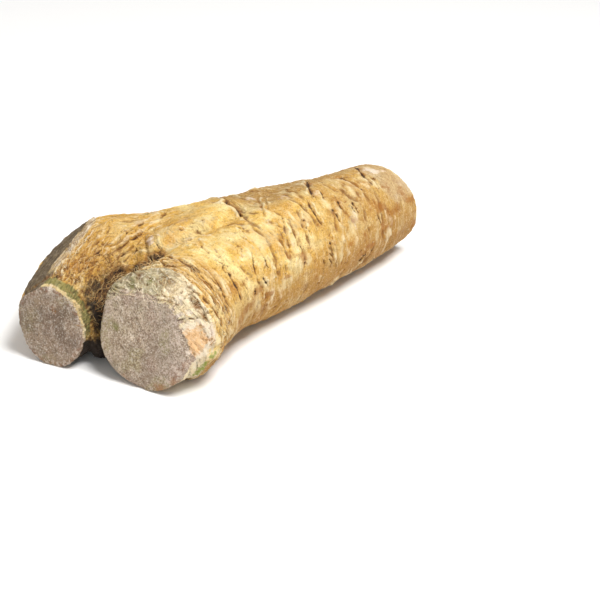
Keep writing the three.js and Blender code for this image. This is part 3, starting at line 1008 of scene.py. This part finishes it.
def strand_piece(name, strands, material):
    """One piece of many thin closed tubes, each tapering to a point at both ends."""
    corners, faces, shades = [], [], []
    turns = np.linspace(0, 2 * math.pi, STRAND_SIDES, endpoint=False)[None, :, None]
    for line, half_wide, shade in strands:
        ahead = np.gradient(line, axis=0)
        across = np.cross(ahead, ASLANT)
        across /= np.linalg.norm(across, axis=1, keepdims=True)
        over = np.cross(ahead / np.linalg.norm(ahead, axis=1, keepdims=True), across)
        girth = half_wide * np.sin(np.linspace(0, math.pi, len(line))) ** 0.35
        round_line = np.cos(turns) * across[:, None] + np.sin(turns) * over[:, None]
        rings = line[:, None] + girth[:, None, None] * round_line
        first = len(corners)
        corners += [line[0], *rings[1:-1].reshape(-1, 3), line[-1]]
        last = len(corners) - 1
        for side in range(STRAND_SIDES):
            after = (side + 1) % STRAND_SIDES
            faces.append((first, first + 1 + after, first + 1 + side))
            for ring in range(len(line) - 3):
                here = first + 1 + ring * STRAND_SIDES
                next_ring = here + STRAND_SIDES
                faces.append((here + side, here + after, next_ring + after, next_ring + side))
            faces.append((last, last - STRAND_SIDES + side, last - STRAND_SIDES + after))
        shades += [shade] * (len(corners) - first)
    made = bpy.data.meshes.new(name)
    made.from_pydata(((np.array(corners) + origin) * MM).tolist(), [], faces)
    finish_mesh(made, {"shade": np.array(shades)}, material)
    piece = put(name, made)
    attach(piece, "root")


def lying(limb, count, along, degrees, heading, length, lift, half_wide, shade, seed):
    """Fibres that lie on a limb's bark, lifting off it a little between their ends."""
    draw = np.random.default_rng(seed)
    found = []
    for _ in range(count):
        start = limb.flat([(draw.uniform(*along), draw.uniform(*degrees))])[0]
        size, rise, half, tone = (draw.uniform(*span) for span in (length, lift, half_wide, shade))
        path = wander(start, draw.uniform(*heading), size, 0.8, draw)
        way = np.linspace(0, 1, 9)
        share = np.linspace(0, 1, len(path))
        path = np.stack([np.interp(way, share, path[:, k]) for k in (0, 1)], 1)
        index = limb.under(path)
        if (index < 0).any():
            continue
        off = rise * np.sin(way * math.pi) - 0.25 + 0.3 * way * draw.uniform(0, 3)
        found.append((points[index] + normals[index] * off[:, None], half, tone))
    return found


def curling(limb, count, along, degrees, length, half_wide, shade, seed):
    """Rootlets that grow out of the bark and curl round in the air."""
    draw = np.random.default_rng(seed)
    found = []
    for _ in range(count):
        index = limb.under(limb.flat([(draw.uniform(*along), draw.uniform(*degrees))]))[0]
        size, half, tone = (draw.uniform(*span) for span in (length, half_wide, shade))
        way = normals[index] + 0.6 * draw.normal(size=3)
        axis = draw.normal(size=3)
        bend = draw.uniform(0.15, 0.5)
        here = points[index] - 0.4 * normals[index]
        line = []
        for _ in range(max(6, int(size))):
            line.append(here)
            way = way + bend * np.cross(axis / np.linalg.norm(axis), way)
            way /= np.linalg.norm(way)
            axis = axis + 0.35 * draw.normal(size=3)
            here = here + way
            here[2] = max(here[2], 0.5)
        if index >= 0:
            found.append((np.array(line), half, tone))
    return found


hair = root_hair()
# In the crotch, from both limbs, and along the crevice, browner than the rest as painted shade.
strand_piece("crotch_rootlets", [
    *curling(large, 90, (0, 26), (48, 104), (6, 16), (0.07, 0.13), (-0.2, 0.4), 60),
    *curling(small, 110, (2, 44), (-95, -32), (6, 16), (0.07, 0.13), (-0.2, 0.4), 61),
    *curling(large, 90, (14, 44), (34, 66), (4, 10), (0.07, 0.13), (0.0, 0.5), 67),
], hair)
# On the small limb's crumbled neck, along it and beside its torn rim, then on the collar and bevel.
strand_piece("bark_fibres", [
    *lying(small, 260, (14, 62), (-75, 12), (-28, 28), (3, 10), (0.1, 0.8), (0.07, 0.13), (0.0, 0.5), 62),
    *lying(small, 100, (40, 98), (-100, 60), (-16, 16), (4, 12), (0.1, 0.6), (0.07, 0.13), (0.1, 0.6), 63),
    *lying(small, 110, (18, 60), (-4, 14), (-30, 30), (3, 8), (0.2, 0.8), (0.08, 0.14), (0.4, 0.8), 64),
    *lying(large, 220, (11, 32), (-140, 90), (72, 108), (3, 12), (0.1, 0.8), (0.08, 0.14), (0.1, 0.7), 65),
    *lying(large, 120, (-1, 14), (-60, 90), (72, 108), (3, 10), (0.1, 0.7), (0.07, 0.12), (0.5, 0.85), 66),
], hair)


# ---- Table, lamps and camera, the first two in metres ----
def table_top(half_wide):
    """A white laminate table, matt, with its top where the root rests."""
    material, tree = new_material("matt_white_laminate")
    surface = add(tree, "BsdfPrincipled", {"Base Color": linear("#F6F5F3"), "Roughness": 0.7})
    add(tree, "OutputMaterial", {"Surface": surface.outputs[0]})
    made = bpy.data.meshes.new("table_top")
    corners = [(half_wide * i, half_wide * j, 0) for i, j in ((-1, -1), (1, -1), (1, 1), (-1, 1))]
    made.from_pydata(corners, [], [(0, 1, 2, 3)])
    made.materials.append(material)
    return put("table_top", made)


table = table_top(4.0)

ROOM_LIGHT = 0.42
world = bpy.data.worlds.new("studio")
bpy.context.scene.world = world
world.use_nodes = True
world.node_tree.nodes["Background"].inputs["Color"].default_value = (1, 1, 1, 1)
world.node_tree.nodes["Background"].inputs["Strength"].default_value = ROOM_LIGHT


def lamp(name, where, toward, size, power):
    """A soft oblong lamp, turned toward a spot. Its power is in watts."""
    light = bpy.data.lights.new(name, "AREA")
    light.shape = "RECTANGLE"
    light.size, light.size_y = size
    light.energy = power
    made = put(name, light)
    made.location = where
    made.rotation_euler = (Vector(toward) - Vector(where)).to_track_quat("-Z", "Y").to_euler()


lamp("key_softbox", (-0.02, -0.52, 1.08), (0, 0, 0.03), (0.45, 0.45), 17.0)
lamp("back_softbox", (0.3, 0.9, 0.9), (0, 0, 0.03), (0.8, 0.8), 2.5)
lamp("crown_softbox", (-0.9, -0.5, 0.5), (-0.1, 0, 0.03), (0.5, 0.5), 0.8)

CAMERA_AT = (-511.95, -486.56, 422.52)
CAMERA_AIMS_AT = (121.85, -7.2, 0.0)
camera = put("camera", bpy.data.cameras.new("camera"))
camera.data.sensor_width = 36
camera.data.lens = 93.12
eye, aim = (Vector((origin + spot) * MM) for spot in (CAMERA_AT, CAMERA_AIMS_AT))
camera.location = eye
camera.rotation_euler = (aim - eye).to_track_quat("-Z", "Y").to_euler()
bpy.context.scene.camera = camera
bpy.context.scene.view_settings.view_transform = "Standard"
